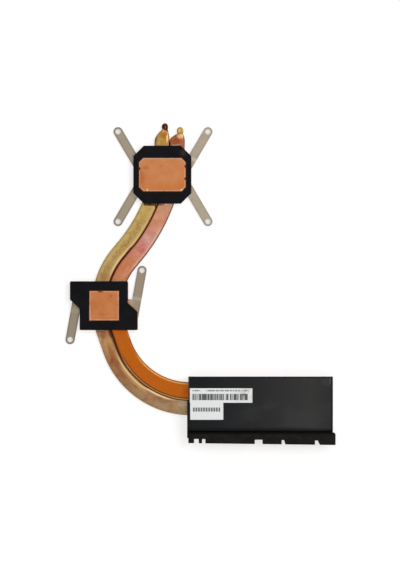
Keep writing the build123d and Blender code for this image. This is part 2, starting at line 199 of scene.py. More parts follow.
INNER_NEAR_RIM_SHADE_TONES = [(-110, "#8a5a34"), (-100, "#5a260c"), (-60, "#53301f"), (0, "#53301f")]
PIPE_STREAKS_ACROSS = 2400
PIPE_STREAKS_ALONG = 45

# Stretches of the pipes in Y: from, to and how softly they end
OUTER_GRAINY = (-60 * MM, -26 * MM, 5 * MM)
OUTER_UNBLOTCHED = (-102 * MM, -94 * MM, 2 * MM)
OUTER_SECOND_HIGHLIGHT = (-127.5 * MM, -112.5 * MM, 3 * MM)
OUTER_SHINELESS = (-107 * MM, -58 * MM, 4 * MM)
OUTER_GAP_SHADE_SPAN = (-100 * MM, -88 * MM, 5 * MM)
INNER_GRAINY = (-46 * MM, -36 * MM, 4 * MM)
INNER_EDGE_HIGHLIGHT = (-56 * MM, -30 * MM, 4 * MM)
GAP_LINE_INSIDE = (-126 * MM, -42 * MM, 2 * MM)
GAP_LINE_DEEPER = (-99 * MM, -92 * MM, 5 * MM)
GAP_LINE_ON_OUTER = (-64 * MM, -42 * MM, 2 * MM)

# Fades along the pipes in Y: where each begins and ends, from below
OUTER_FINS_FADE = (-120 * MM, -110 * MM)
OUTER_BLOTCH_FADE = (-95 * MM, -88 * MM)
OUTER_NEAR_RIM_FADE = (-92 * MM, -80 * MM)
OUTER_SHINE_FADE = (-50 * MM, -16 * MM)
OUTER_SHOULDER_FADE = (-50 * MM, -40 * MM)
OUTER_END_FADE = (14 * MM, 18 * MM)
GAP_LINE_FADE = (-119 * MM, -112 * MM)
INNER_BEND_FADE = (-114 * MM, -104 * MM)
INNER_CREASE_FADE = (-114 * MM, -102 * MM)
INNER_FAR_RIM_FADE = (-110 * MM, -98 * MM)
INNER_ORANGE_FADE = (-90 * MM, -60 * MM)
INNER_BALL_FADE = (23.6 * MM, 24.8 * MM)

# Colours and fades in X: the outer pipe towards the fins, and the cover film towards its far end, bluish near
# the labels and painted lighter towards the far end by light from that side
OUTER_FINS_FADE_X = (2 * MM, 9 * MM)
COVER_LIT_TONES = [(15, "#08090c"), (45, "#151619"), (70, "#242424"), (88, "#2b2b2a"), (101, "#1f2020")]
COVER_SHEEN_FADE = (30 * MM, 60 * MM)
COVER_ROLL_NEAR_FADE = (20 * MM, 45 * MM)
COVER_ROLL_FAR_FADE = (75 * MM, 100 * MM)

# Stains and marks, with painted highlights and painted shades among them, in the order they lie on each
# other: pixel of the photo, half sizes in mm, colour, share
OUTER_PIPE_STAINS_AND_SHADING = {
    "ochre at the end": ((162.5, 139.5), 4.2, 4.0, "#a8762f", 0.6),
    "rust below the crimp": ((164.0, 135.0), 2.8, 3.0, "#ab6626", 0.85),
    # painted highlight across the rounded end
    "painted highlight line at the end": ((160.5, 139.0), 2.6, 1.0, "#c9a35c", 0.5),
    "pale spot at the film": ((158.8, 142.6), 1.4, 1.7, "#c2955c", 0.8),
    "yellow at the film": ((164.4, 141.6), 1.6, 1.6, "#b8953c", 0.6),
    # painted shade on the left side of the rounded end
    "painted shade on the left side of the end": ((156.0, 139.0), 1.0, 4.0, "#7d6534", 0.8),
    # painted highlight on the right side of the rounded end
    "painted highlight on the right side of the end": ((167.0, 139.2), 0.7, 3.2, "#f3d083", 0.9),
    # painted glint below the crimp
    "glint below the crimp": ((163.4, 131.2), 1.3, 1.0, "#dd9a66", 0.9),
    # painted shade on the right flank beside the inner pipe
    "painted shade at the right corner by the film": ((169.2, 142.3), 0.8, 2.2, "#4a2410", 0.9),
    "brown below the graphics plate": ((102.6, 335.5), 2.6, 3.4, "#8b5840", 0.8),
    "brown above the graphics plate": ((103.0, 276.0), 2.6, 3.6, "#9a6c40", 0.6),
    "tan above the graphics plate": ((107.5, 266.5), 1.8, 3.0, "#a27c4e", 0.5),
    "tan below the graphics plate": ((102.6, 341.8), 1.6, 2.6, "#a5704a", 0.7),
    "red brown in the last bend": ((112.0, 361.0), 1.8, 3.8, "#8a4a28", 0.75),
    "pinkish in the last bend": ((151.0, 397.8), 2.2, 1.6, "#a9785a", 0.6),
    "dull brown before the fins": ((165.0, 401.5), 5.5, 1.8, "#906852", 0.7),
    "grey at the fins": ((183.0, 403.5), 4.0, 3.6, "#b5a386", 0.6),
    # flux with painted shadow in the gap under the processor plate's edge
    "flux and painted shadow in the gap at the processor plate": ((155.6, 206.6), 0.8, 1.6, "#2d0600", 0.9),
}
OUTER_CRIMP_PIXEL = (164.3, 129.6)
OUTER_CRIMP_SLOPE = 0.59
OUTER_CRIMP_MARKS = {
    "worn right side": ((165.4, 127.2), 0.6, 1.5, "#94624f", 0.8),
    "worn top": ((163.6, 124.2), 1.4, 0.7, "#6b4c40", 0.8),
}
INNER_PIPE_STAINS_AND_SHADING = {
    "red above the graphics plate": ((142.5, 250.5), 3.6, 2.6, "#b9585c", 0.55),
    # painted pink sheen
    "painted pink sheen over it": ((146.5, 240.0), 3.0, 4.6, "#cfa098", 0.4),
    "pale orange below the processor plate": ((155.5, 216.5), 2.0, 2.6, "#d9a488", 0.4),
    # flux with painted shadow below the film's edge
    "flux and painted shadow below the processor film": ((160.5, 204.6), 2.5, 0.7, "#5a3d2f", 0.85),
    # flux with painted shadow in the gap under the processor plate's edge
    "flux and painted shadow in the gap at the processor plate": ((156.0, 206.6), 0.8, 1.6, "#2d0600", 0.9),
    "brown at the end": ((176.0, 140.5), 5.0, 2.8, "#8f4824", 0.9),
    "orange right side of the end": ((181.2, 141.5), 1.0, 2.0, "#b4601e", 0.7),
    # painted shade on the left of the rounded shoulder
    "painted shade on the left shoulder": ((175.2, 135.5), 1.5, 1.0, "#75572f", 0.8),
    # painted highlight on the right of the rounded shoulder
    "painted highlight on the right shoulder": ((180.0, 136.2), 2.5, 2.0, "#dab680", 0.9),
}
# painted highlight in the middle of the ball-shaped end
INNER_BALL_HIGHLIGHT = {"painted highlight in the middle": ((179.6, 130.0), 1.5, 1.9, "#dcab66", 0.9)}
CPU_PAD_STAINS = {
    "orange lower half": ((162.0, 190.0), 17.0, 6.0, "#bd7039", 0.6),
    "dark left side": ((138.0, 178.0), 6.0, 8.0, "#ad5f2b", 0.8),
    "brown left of the middle": ((146.0, 168.0), 2.6, 2.0, "#a85e30", 0.5),
    "orange lower right": ((182.0, 186.0), 6.0, 4.0, "#bd6f34", 0.7),
    "dull spot above the middle": ((161.0, 166.0), 1.6, 1.0, "#8a5a3a", 0.3),
}
CPU_PAD_HIGHLIGHTS = {
    # painted highlights on the pad's lower corners
    "lower left": ((147.3, 189.8), 0.5, 1.2, "#efd9c4", 0.7),
    "lower right": ((182.0, 189.8), 1.0, 0.9, "#ecd2bc", 0.7),
}
GPU_PAD_STAINS = {
    "brown left side": ((92.0, 306.0), 4.0, 6.0, "#b0673a", 0.5),
    "speck at the upper right": ((111.3, 295.8), 0.8, 0.8, "#8a5030", 0.7),
    "scratch below the middle": ((104.0, 314.0), 6.0, 0.4, "#8f5632", 0.4),
}
GPU_PAD_EDGE_LIGHT_AND_SHADE = {
    # painted shade along the pad's upper edge
    "dark upper edge": ((100.0, 291.6), 2.0, 0.8, "#5e3a24", 0.8),
    # painted highlight along the pad's left edge
    "pale left edge": ((89.6, 313.0), 0.7, 6.5, "#d8b9a6", 0.6),
}
CPU_FILM_SCUFFS_AND_SHEEN = {"upper right": ((183.5, 152.5), 3.5, 3.5, "#3d3931", 0.6)}
# painted light on the right arm's foot, by the film
GPU_ARM_PAINTED_LIGHT = {"painted light on the foot of the right arm": ((130.5, 303.0), 2.6, 4.0, "#bfa294", 0.6)}

# Floor, light and camera
FLOOR_SIZE = 8
FLOOR_DROP = 0.02 * MM
FLOOR_GLOW = 0.6
HOLE_SHADE = 0.35
HOLE_SHADE_RADIUS = 2.6 * MM
SURROUND_LOW = 0.42
SURROUND_RISE = 0.5
SURROUND_RIGHT = 0.18
LAMP_PLACE = (0.75, 0.25, 1.1)
LAMP_AIM = (0.02, -0.06, 0)
LAMP_SIZE = 0.8
LAMP_POWER = 6
LENS = 300
SENSOR = 36
CAMERA_FAR = 20

# Bend centres and the places where one bend hands over to the next
lean = PLATE_BEND_TURN - FIRST_BEND_TURN
bend_step = LAST_BEND_RADIUS - PLATE_BEND_RADIUS
first_bend = (PAIR_X - FIRST_BEND_RADIUS, FIRST_BEND_Y)
slant = (math.sin(FIRST_BEND_TURN), math.cos(FIRST_BEND_TURN))
slant_middle = first_bend[0] * slant[0] + first_bend[1] * slant[1] - SLANT_RUN / 2
slant_y = first_bend[1] - FIRST_BEND_RADIUS * slant[0] - SLANT_RUN / 2 * slant[1]
plate_bend = (
    first_bend[0]
    + (FIRST_BEND_RADIUS + PLATE_BEND_RADIUS) * math.cos(FIRST_BEND_TURN)
    - SLANT_RUN * math.sin(FIRST_BEND_TURN),
    first_bend[1]
    - (FIRST_BEND_RADIUS + PLATE_BEND_RADIUS) * math.sin(FIRST_BEND_TURN)
    - SLANT_RUN * math.cos(FIRST_BEND_TURN),
)
last_bend = (
    plate_bend[0] + bend_step * math.cos(lean) + LEVEL_RUN * math.sin(lean),
    plate_bend[1] + bend_step * math.sin(lean) - LEVEL_RUN * math.cos(lean),
)
level_y = plate_bend[1] - PLATE_BEND_RADIUS * math.sin(lean) - LEVEL_RUN / 2
outer_spread = INNER_WIDENING / math.cos(lean)
outer_last_bend = (last_bend[0] + outer_spread * math.sin(lean), last_bend[1] - INNER_WIDENING)


def at_pixel(u, v):
    """The place in XY that shows at a pixel of the photo."""
    return (u - PAD_PIXEL_X) * PIXEL, (PAD_PIXEL_Y - v) * PIXEL


def colour(code):
    """A colour as it looks on screen, written #rrggbb, as linear values."""
    shown = [int(code[i:i + 2], 16) / 255 for i in (1, 3, 5)]
    linear = [c / 12.92 if c <= 0.04045 else ((c + 0.055) / 1.055) ** 2.4 for c in shown]
    return (*linear, 1)


class Wire:
    """A socket of a node tree. Arithmetic on wires adds Math nodes."""

    def __init__(self, tree, socket=None):
        self.tree = tree
        self.socket = socket

    def node(self, kind, settings=None, sockets=None, output=0):
        made = self.tree.nodes.new(kind)
        for name, value in (settings or {}).items():
            if name == "stops":
                fill_ramp(made.color_ramp, value)
            else:
                setattr(made, name, value)
        for name, value in (sockets or {}).items():
            if isinstance(value, Wire):
                self.tree.links.new(value.socket, made.inputs[name])
            else:
                made.inputs[name].default_value = value
        return Wire(self.tree, made.outputs[output] if made.outputs else None)

    def math(self, operation, *values):
        return self.node("ShaderNodeMath", {"operation": operation}, dict(enumerate(values)))

    def __add__(self, other):
        return self.math("ADD", self, other)

    def __radd__(self, other):
        return self.math("ADD", other, self)

    def __sub__(self, other):
        return self.math("SUBTRACT", self, other)

    def __rsub__(self, other):
        return self.math("SUBTRACT", other, self)

    def __mul__(self, other):
        return self.math("MULTIPLY", self, other)

    def __truediv__(self, other):
        return self.math("DIVIDE", self, other)

    def __abs__(self):
        return self.math("ABSOLUTE", self)


def fill_ramp(ramp, stops):
    while len(ramp.elements) < len(stops):
        ramp.elements.new(1)
    for element, (spot, shade) in zip(ramp.elements, stops):
        element.position = spot
        element.color = shade


def place(paint):
    """Object coordinates, in metres."""
    return paint.node("ShaderNodeTexCoord", output="Object")


def axis(paint, name):
    return paint.node("ShaderNodeSeparateXYZ", None, {0: place(paint)}, name)


def stretched(paint, x, y, z):
    """Object coordinates scaled along each axis, for patterns that run one way."""
    return paint.node("ShaderNodeMapping", None, {"Vector": place(paint), "Scale": (x, y, z)})


def noise(paint, vector, scale, detail=3.0, roughness=0.55):
    sockets = {"Vector": vector, "Scale": scale, "Detail": detail, "Roughness": roughness}
    return paint.node("ShaderNodeTexNoise", None, sockets)


def rise(paint, value, low, high):
    """A soft step from 0 at low to 1 at high."""
    sockets = {"Value": value, 1: low, 2: high, 3: 0.0, 4: 1.0}
    return paint.node("ShaderNodeMapRange", {"interpolation_type": "SMOOTHSTEP"}, sockets)


def blend(paint, share, under, over):
    """One colour laid over another by a share."""
    return paint.node("ShaderNodeMix", {"data_type": "RGBA"}, {0: share, 6: under, 7: over}, 2)


def along(paint, value, stops):
    """Colours along a length: stops are a place in millimetres and a colour, from the lowest place up."""
    low = stops[0][0] * MM
    span = stops[-1][0] * MM - low
    shares = [((spot * MM - low) / span, colour(code)) for spot, code in stops]
    return paint.node("ShaderNodeValToRGB", {"stops": shares}, {0: (value - low) / span})


def distance(paint, centre, straight_x=1):
    """How far a point lies from an upright line through a place in XY. Past straight_x, X counts no more."""
    level = paint.node("ShaderNodeVectorMath", {"operation": "MULTIPLY"}, {0: place(paint), 1: (1, 1, 0)})
    level = paint.node("ShaderNodeVectorMath", {"operation": "MINIMUM"}, {0: level, 1: (straight_x, 1, 0)})
    return paint.node("ShaderNodeVectorMath", {"operation": "DISTANCE"}, {0: level, 1: (*centre, 0)}, 1)


def patch(paint, centre, half_x, half_y, core=0.3, ragged=0.0):
    """A soft oval patch at a place in XY: 1 in its core, 0 from its rim outwards."""
    moved = paint.node("ShaderNodeMapping", None, {
        "Vector": place(paint),
        "Location": (-centre[0] / half_x, -centre[1] / half_y, 0),
        "Scale": (1 / half_x, 1 / half_y, 0),
    })
    reach = paint.node("ShaderNodeVectorMath", {"operation": "LENGTH"}, {0: moved}, 1)
    if ragged:
        reach = reach + (noise(paint, place(paint), 620, 3) - 0.5) * ragged
    return 1 - rise(paint, reach, core, 1.0)


def band(paint, value, low, high, soft=0.08 * MM):
    """1 between two places, softly 0 outside."""
    return rise(paint, value, low - soft, low + soft) * (1 - rise(paint, value, high - soft, high + soft))


def bump(paint, height, depth, strength=1.0):
    return paint.node("ShaderNodeBump", None, {"Height": height, "Distance": depth, "Strength": strength})


def new_material(name):
    made = bpy.data.materials.new(name)
    made.use_nodes = True
    made.node_tree.nodes.clear()
    return made, Wire(made.node_tree)


def surface(paint, sockets):
    """The material's shader, with its sockets' values or links."""
    shader = paint.node("ShaderNodeBsdfPrincipled", None, sockets)
    paint.node("ShaderNodeOutputMaterial", None, {"Surface": shader})


def pipe_across(paint, side):
    """Distance from a pipe's own middle line, positive towards the inside of the last bend."""
    offset = side * PIPE_OFFSET
    first = distance(paint, first_bend) - (FIRST_BEND_RADIUS + offset)
    plate = (PLATE_BEND_RADIUS - offset) - distance(paint, plate_bend)
    last_centre = outer_last_bend if side == OUTER else last_bend
    last = (LAST_BEND_RADIUS - offset) - distance(paint, last_centre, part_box("fin_stack")[0][0])
    y = axis(paint, "Y")
    below_slant = paint.math("LESS_THAN", axis(paint, "X") * slant[0] + y * slant[1], slant_middle)
    below_level = paint.math("LESS_THAN", y, level_y)
    return first + (plate - first) * below_slant + (last - plate) * below_level


def pipe_streaks(paint, across):
    """Drawing marks that run along the pipe."""
    run_y = axis(paint, "Y") * PIPE_STREAKS_ALONG
    run_x = axis(paint, "X") * PIPE_STREAKS_ALONG
    drift = paint.node("ShaderNodeCombineXYZ", None, {0: across * PIPE_STREAKS_ACROSS, 1: run_y, 2: run_x})
    return noise(paint, drift, 1.0, 2.0)


def daubed(paint, body, daubs):
    """Ragged oval patches over a body colour: stains, and painted highlights and shades."""
    for (u, v), half_x, half_y, code, share in daubs.values():
        mask = patch(paint, at_pixel(u, v), half_x * MM, half_y * MM, ragged=0.9)
        body = blend(paint, mask * share, body, colour(code))
    return body


def yellowed_tones(paint, y, across, mottle, near_fins):
    """Body colour of the outer pipe: yellowed sides, a browner ragged middle, grains, reddish blotches and a
    painted highlight inside the last bend.
    """
    edge = PIPE_WIDTH / 2
    cloud = noise(paint, place(paint), 230, 4)
    ragged = abs(across) + (cloud - 0.5) * 5.0 * MM
    sides = along(paint, y, OUTER_SIDE_TONES)
    middle = along(paint, y, OUTER_MIDDLE_TONES)
    body = blend(paint, 1 - rise(paint, ragged, 0.6 * MM, 2.8 * MM), sides, middle)
    body = blend(paint, mottle * 0.5, body, colour("#876237"))
    grains = rise(paint, noise(paint, place(paint), 720, 4), 0.46, 0.62)
    grains = grains * band(paint, y, *OUTER_GRAINY)
    grains = grains * (1 - rise(paint, ragged, 0.6 * MM, 2.4 * MM))
    body = blend(paint, grains * 0.6, body, colour("#8d6a3e"))
    blotched = (1 - rise(paint, y, *OUTER_BLOTCH_FADE)) * (1 - band(paint, y, *OUTER_UNBLOTCHED))
    blotch = rise(paint, noise(paint, place(paint), 150, 3), 0.48, 0.62) * blotched * (1 - near_fins)
    body = blend(paint, blotch * 0.6, body, colour("#8f543a"))
    # painted highlight, wide and soft, near the inner edge in the last bend
    second_highlight = band(paint, across, edge - 3.4 * MM, edge - 1.0 * MM, 0.8 * MM)
    second_highlight = second_highlight * band(paint, y, *OUTER_SECOND_HIGHLIGHT)
    return blend(paint, second_highlight * 0.6, body, colour("#c9a566"))


def gap_line_shift(paint, y):
    """How far inside the outer pipe's edge the painted dark shade line between the pipes lies."""
    shift = band(paint, y, *GAP_LINE_INSIDE) * 0.55
    shift = shift + band(paint, y, *GAP_LINE_DEEPER) * 0.5
    shift = shift - (1 - rise(paint, y, *GAP_LINE_FADE)) * 0.12
    return shift * MM


def outer_rim_lines(paint, body, y, rim, near_fins):
    """Lines beside the gap: a painted shine, painted shade beside the gap below the graphics plate and a
    reddish shoulder above it.
    """
    edge = PIPE_WIDTH / 2
    shine = band(paint, rim, edge - 1.6 * MM, edge - 0.8 * MM, 0.4 * MM)
    shine = shine * (1 - band(paint, y, *OUTER_SHINELESS)) * (1 - rise(paint, y, *OUTER_END_FADE))
    shine = shine * (1 - near_fins) * (1 - rise(paint, y, *OUTER_SHINE_FADE) * 0.8)
    body = blend(paint, shine * 0.95, body, colour("#e6c490"))
    # painted shade beside the gap below the graphics plate
    gap_shade = rise(paint, rim, edge - 1.8 * MM, edge - 0.7 * MM) * band(paint, y, *OUTER_GAP_SHADE_SPAN)
    body = blend(paint, gap_shade * 0.8, body, colour("#5c3018"))
    shoulder = band(paint, rim, edge - 1.0 * MM, edge - 0.5 * MM, 0.15 * MM)
    shoulder = shoulder * rise(paint, y, *OUTER_SHOULDER_FADE)
    return blend(paint, shoulder * 0.75, body, colour("#a0623f"))


def outer_pipe_copper():
    """Yellowed copper with a dark crimped end, redder below the graphics plate and dull near the fins, with
    painted shine, highlights and shade at its rims and end.
    """
    made, paint = new_material("yellowed_copper")
    x = axis(paint, "X")
    y = axis(paint, "Y")
    across = pipe_across(paint, OUTER)
    edge = PIPE_WIDTH / 2
    mottle = rise(paint, noise(paint, place(paint), 420, 4), 0.5, 0.72)
    near_fins = rise(paint, x, *OUTER_FINS_FADE_X) * (1 - rise(paint, y, *OUTER_FINS_FADE))
    body = yellowed_tones(paint, y, across, mottle, near_fins)
    streaks = pipe_streaks(paint, across)
    body = blend(paint, rise(paint, streaks, 0.52, 0.8) * 0.3, body, colour("#cdb684"))
    rim = across + gap_line_shift(paint, y)
    body = outer_rim_lines(paint, body, y, rim, near_fins)
    body = daubed(paint, body, OUTER_PIPE_STAINS_AND_SHADING)
    crimp_x, crimp_y = at_pixel(*OUTER_CRIMP_PIXEL)
    slanted = y + (x - crimp_x) * OUTER_CRIMP_SLOPE
    crimp = rise(paint, slanted, crimp_y - 0.2 * MM, crimp_y + 0.3 * MM)
    body = blend(paint, crimp, body, colour("#431509"))
    body = daubed(paint, body, OUTER_CRIMP_MARKS)
    # painted shade: dark red-brown along the groove between the pipes
    far_rim = rise(paint, rim, edge - 0.55 * MM, edge - 0.3 * MM)
    near_rim = 1 - rise(paint, across, 0.2 * MM - edge, 0.8 * MM - edge)
    body = blend(paint, far_rim, body, along(paint, y, OUTER_RIM_SHADE_TONES))
    # painted light: a paler outer rim, lifting its shade
    lit_outer_rim = near_rim * (1 - rise(paint, y, *OUTER_NEAR_RIM_FADE))
    body = blend(paint, lit_outer_rim * 0.6, body, colour("#c9a47c"))
    fine = noise(paint, place(paint), 1500, 3)
    surface(paint, {
        "Base Color": body,
        "Metallic": 1 - far_rim * 0.9 - near_rim * 0.6,
        "Roughness": 0.34 + mottle * 0.14 + far_rim * 0.3,
        "Specular IOR Level": 0.1,
        "Normal": bump(paint, streaks * 0.5 + fine * 0.5, 0.04 * MM, 0.5),
    })
    return made


def heat_tints(paint, y, cloud, upper):
    """Body colour of the inner pipe: cloudy pink above the graphics plate, grainy orange below it."""
    body = along(paint, y, INNER_TONES)
    body = blend(paint, cloud * upper * 0.4, body, colour("#d3a08a"))
    body = blend(paint, cloud * (1 - upper) * 0.35, body, colour("#a04e10"))
    grains = rise(paint, noise(paint, place(paint), 900, 3), 0.5, 0.7)
    body = blend(paint, grains * (1 - upper) * 0.35, body, colour("#c66c1c"))
    pale_grains = grains * band(paint, y, *INNER_GRAINY)
    return blend(paint, pale_grains * 0.4, body, colour("#dcb3a4"))


def inner_rim_lines(paint, body, y, across, beside_outer, bend):
    """A painted highlight line above the graphics plate, and a painted shine and painted shade along a crease
    in the last bend.
    """
    edge = PIPE_WIDTH / 2
    # painted highlight line near the inner edge
    pale = band(paint, across, edge - 2.0 * MM, edge - 0.9 * MM, 0.4 * MM) * band(paint, y, *INNER_EDGE_HIGHLIGHT)
    body = blend(paint, pale * 0.6, body, colour("#dcab9c"))
    shine = band(paint, across, edge - 1.3 * MM, edge - 0.7 * MM, 0.3 * MM) * bend
    body = blend(paint, shine * 0.85, body, colour("#f0b062"))
    # painted shade along the crease of the flank beside the outer pipe
    crease = band(paint, beside_outer, 0.85 * MM, 1.45 * MM, 0.25 * MM)
    crease = crease * (1 - rise(paint, y, *INNER_CREASE_FADE))
    return blend(paint, crease * 0.85, body, colour("#64300c"))


def inner_pipe_copper():
    """Pink copper above the graphics plate and heat-tinted orange below it, with a ball-shaped end; painted
    light, reflection and shade beside the gap and along its edges.
    """
    made, paint = new_material("heat_tinted_copper")
    y = axis(paint, "Y")
    across = pipe_across(paint, INNER)
    beside_outer = pipe_across(paint, OUTER) - (PIPE_WIDTH / 2 + PIPE_GAP)
    edge = PIPE_WIDTH / 2
    cloud = rise(paint, noise(paint, place(paint), 210, 4), 0.4, 0.72)
    upper = rise(paint, y, *INNER_ORANGE_FADE)
    bend = 1 - rise(paint, y, *INNER_BEND_FADE)
    body = heat_tints(paint, y, cloud, upper)
    streaks = pipe_streaks(paint, across)
    body = blend(paint, rise(paint, streaks, 0.52, 0.8) * (0.05 + upper * 0.17), body, colour("#dba078"))
    body = daubed(paint, body, INNER_PIPE_STAINS_AND_SHADING)
    body = blend(paint, rise(paint, y, *INNER_BALL_FADE), body, colour("#a8843f"))
    body = daubed(paint, body, INNER_BALL_HIGHLIGHT)
    body = inner_rim_lines(paint, body, y, across, beside_outer, bend)
    line_on_outer = band(paint, y, *GAP_LINE_ON_OUTER)
    # painted reflection: a lighter brown flank beside the gap
    flank = 1 - rise(paint, beside_outer, 0.3 * MM, 0.9 * MM)
    body = blend(paint, flank * (1 - line_on_outer) * 0.75, body, colour("#a5703c"))
    # painted light on the lip beside the gap, brightest at the gap
    lip = (1 - rise(paint, beside_outer, 0.55 * MM, 0.85 * MM)) * bend
    body = blend(paint, lip, body, along(paint, beside_outer, INNER_LIP_LIGHT_TONES))
    # painted shade: dark rims along the groove between the pipes
    far_rim = 1 - rise(paint, beside_outer, 0.15 * MM, 0.5 * MM)
    far_rim = far_rim * (1 - line_on_outer) * rise(paint, y, *INNER_FAR_RIM_FADE)
    # painted shade along the inner edge
    near_rim = rise(paint, across, edge - 1.1 * MM, edge - 0.5 * MM)
    body = blend(paint, far_rim, body, along(paint, y, INNER_FAR_RIM_SHADE_TONES))
    body = blend(paint, near_rim * 0.75, body, along(paint, y, INNER_NEAR_RIM_SHADE_TONES))
    dull = paint.math("MAXIMUM", paint.math("MAXIMUM", flank, lip), near_rim)
    fine = noise(paint, place(paint), 1500, 3)
    surface(paint, {
        "Base Color": body,
        "Metallic": 1 - dull * 0.85,
        "Roughness": 0.34 + cloud * 0.14 + flank * 0.3,
        "Specular IOR Level": 0.1,
        "Normal": bump(paint, streaks * 0.5 + fine * 0.5, 0.04 * MM, 0.5),
    })
    return made


def pad_edge(paint, node, half_x, half_y, corner):
    """How far a point lies inside the edge of a cold plate's pad."""
    low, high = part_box(node)
    x = abs(axis(paint, "X") - (low[0] + high[0]) / 2)
    y = abs(axis(paint, "Y") - (low[1] + high[1]) / 2)
    inside = paint.math("MINIMUM", half_x - x, half_y - y)
    chamfer = (half_x + half_y - corner - x - y) / math.sqrt(2)
    return paint.math("MINIMUM", inside, chamfer)


def ground_copper(name, node, pad, tones, edge_highlight_share, daubs, edge_light_and_shade):
    """Ground copper of a contact pad: fine scratches both ways, tarnish in places, a painted highlight with
    some wear along its edges, painted edge lights and shades, and painted shade in the groove round it.
    """
    made, paint = new_material(name)
    grain = noise(paint, stretched(paint, 300, 5200, 300), 1.0, 3)
    cross = noise(paint, stretched(paint, 5200, 400, 300), 1.0, 3)
    cloud = noise(paint, place(paint), 180, 4)
    body = blend(paint, rise(paint, cloud, 0.3, 0.7), colour(tones[0]), colour(tones[1]))
    body = daubed(paint, body, daubs)
    body = blend(paint, rise(paint, grain, 0.5, 0.8) * 0.2, body, colour("#d39a72"))
    body = blend(paint, rise(paint, cross, 0.55, 0.8) * 0.15, body, colour("#a05c2d"))
    inside = pad_edge(paint, node, *pad)
    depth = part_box(node)[1][2] - axis(paint, "Z")
    # painted highlight on the bevelled edges, with some wear
    worn = (1 - rise(paint, inside, 0.2 * MM, 0.95 * MM)) * (1 - rise(paint, depth, 0.02 * MM, 0.1 * MM))
    ragged = rise(paint, noise(paint, place(paint), 520, 3), 0.2, 0.55)
    body = blend(paint, worn * ragged * edge_highlight_share, body, colour("#dfc4b2"))
    # painted highlights and shades on the pad's edges
    body = daubed(paint, body, edge_light_and_shade)
    # painted shade in the groove round the pad
    groove = rise(paint, depth, 0.3 * MM, 0.5 * MM) * rise(paint, inside, -1.6 * MM, -1.4 * MM)
    body = blend(paint, groove * 0.9, body, colour("#170c07"))
    surface(paint, {
        "Base Color": body,
        "Metallic": 1.0,
        "Roughness": 0.40 + cloud * 0.14,
        "Normal": bump(paint, grain + cross * 0.6, 0.03 * MM, 0.4),
    })
    return made


def black_film(name, scuffs):
    """Black insulating film: faint cloudiness, fine scratches and a few grey scuffs, partly a painted sheen.
    """
    made, paint = new_material(name)
    cloud = noise(paint, place(paint), 150, 4)
    scratch = noise(paint, stretched(paint, 260, 2600, 260), 1.0, 2)
    body = blend(paint, rise(paint, cloud, 0.3, 0.7), colour("#09090c"), colour("#101014"))
    body = blend(paint, rise(paint, scratch, 0.62, 0.8) * 0.5, body, colour("#1c1c21"))
    # grey scuffs, partly a painted sheen on the film
    for (u, v), half_x, half_y, code, share in scuffs.values():
        worn = patch(paint, at_pixel(u, v), half_x * MM, half_y * MM, 0.1) * rise(paint, scratch, 0.3, 0.6)
        body = blend(paint, worn * share, body, colour(code))
    surface(paint, {
        "Base Color": body,
        "Roughness": 0.42 + cloud * 0.2,
        "Specular IOR Level": 0.07,
        "Normal": bump(paint, cloud * 0.7 + scratch * 0.3, 0.05 * MM, 0.3),
    })
    return made


def spring_steel(name, across, along_arm, tint, bend, hole, daubs):
    """Rolled spring steel: fine lines along the arm, painted shade towards its edges and its rounded tip, and
    a painted highlight on the bend.
    """
    made, paint = new_material(name)
    across = across(paint)
    along_arm = along_arm(paint)
    drift = {0: across * ARM_LINES_ACROSS, 1: along_arm * ARM_LINES_ALONG}
    lines = noise(paint, paint.node("ShaderNodeCombineXYZ", None, drift), 1.0, 2)
    cloud = noise(paint, place(paint), 330, 4)
    body = along(paint, axis(paint, "X"), [(-50, tint[0]), (30, tint[1])])
    body = blend(paint, rise(paint, cloud, 0.3, 0.7) * 0.35, body, colour("#958a7c"))
    body = blend(paint, rise(paint, lines, 0.5, 0.8) * 0.3, body, colour("#b8ad9d"))
    past_hole = paint.math("MAXIMUM", along_arm - hole, 0)
    outwards = paint.math("SQRT", across * across + past_hole * past_hole)
    # painted shade towards the arm's edges and its rounded tip
    rim = rise(paint, outwards, ARM_HALF - 1.2 * MM, ARM_HALF - 0.2 * MM)
    edge_shade_tint = along(paint, axis(paint, "X"), [(-30, "#5c5a55"), (30, "#868480")])
    body = blend(paint, rim * 0.45, body, edge_shade_tint)
    # painted highlight on the bend
    bend_highlight = band(paint, along_arm, bend, bend + ARM_BEND_RUN, 0.3 * MM)
    body = blend(paint, bend_highlight * 0.35, body, colour("#d6cabb"))
    body = daubed(paint, body, daubs)
    surface(paint, {
        "Base Color": body,
        "Metallic": 1.0,
        "Roughness": 0.38 + cloud * 0.12,
        "Normal": bump(paint, lines, 0.02 * MM, 0.5),
    })
    return made


def cpu_arm_steel():
    """Steel of the processor springs, whose arms spread like a cross."""
    reach = CPU_HOLE_HALF - CPU_ARM_MEET
    length = math.hypot(reach, CPU_HOLE_HALF)

    def folded(paint):
        x = abs(axis(paint, "X") - CPU_HOLES[0]) - CPU_ARM_MEET
        y = abs(axis(paint, "Y") - CPU_HOLES[1])
        return x, y

    def across(paint):
        x, y = folded(paint)
        return (x * CPU_HOLE_HALF - y * reach) / length

    def along_arm(paint):
        x, y = folded(paint)
        return (x * reach + y * CPU_HOLE_HALF) / length

    bend = length - (CPU_HOLES[0] + CPU_HOLE_HALF - CPU_FILM_HALF) * length / reach
    tint = ("#968975", "#ac9f8b")
    return spring_steel("processor_spring_steel", across, along_arm, tint, bend, length, {})


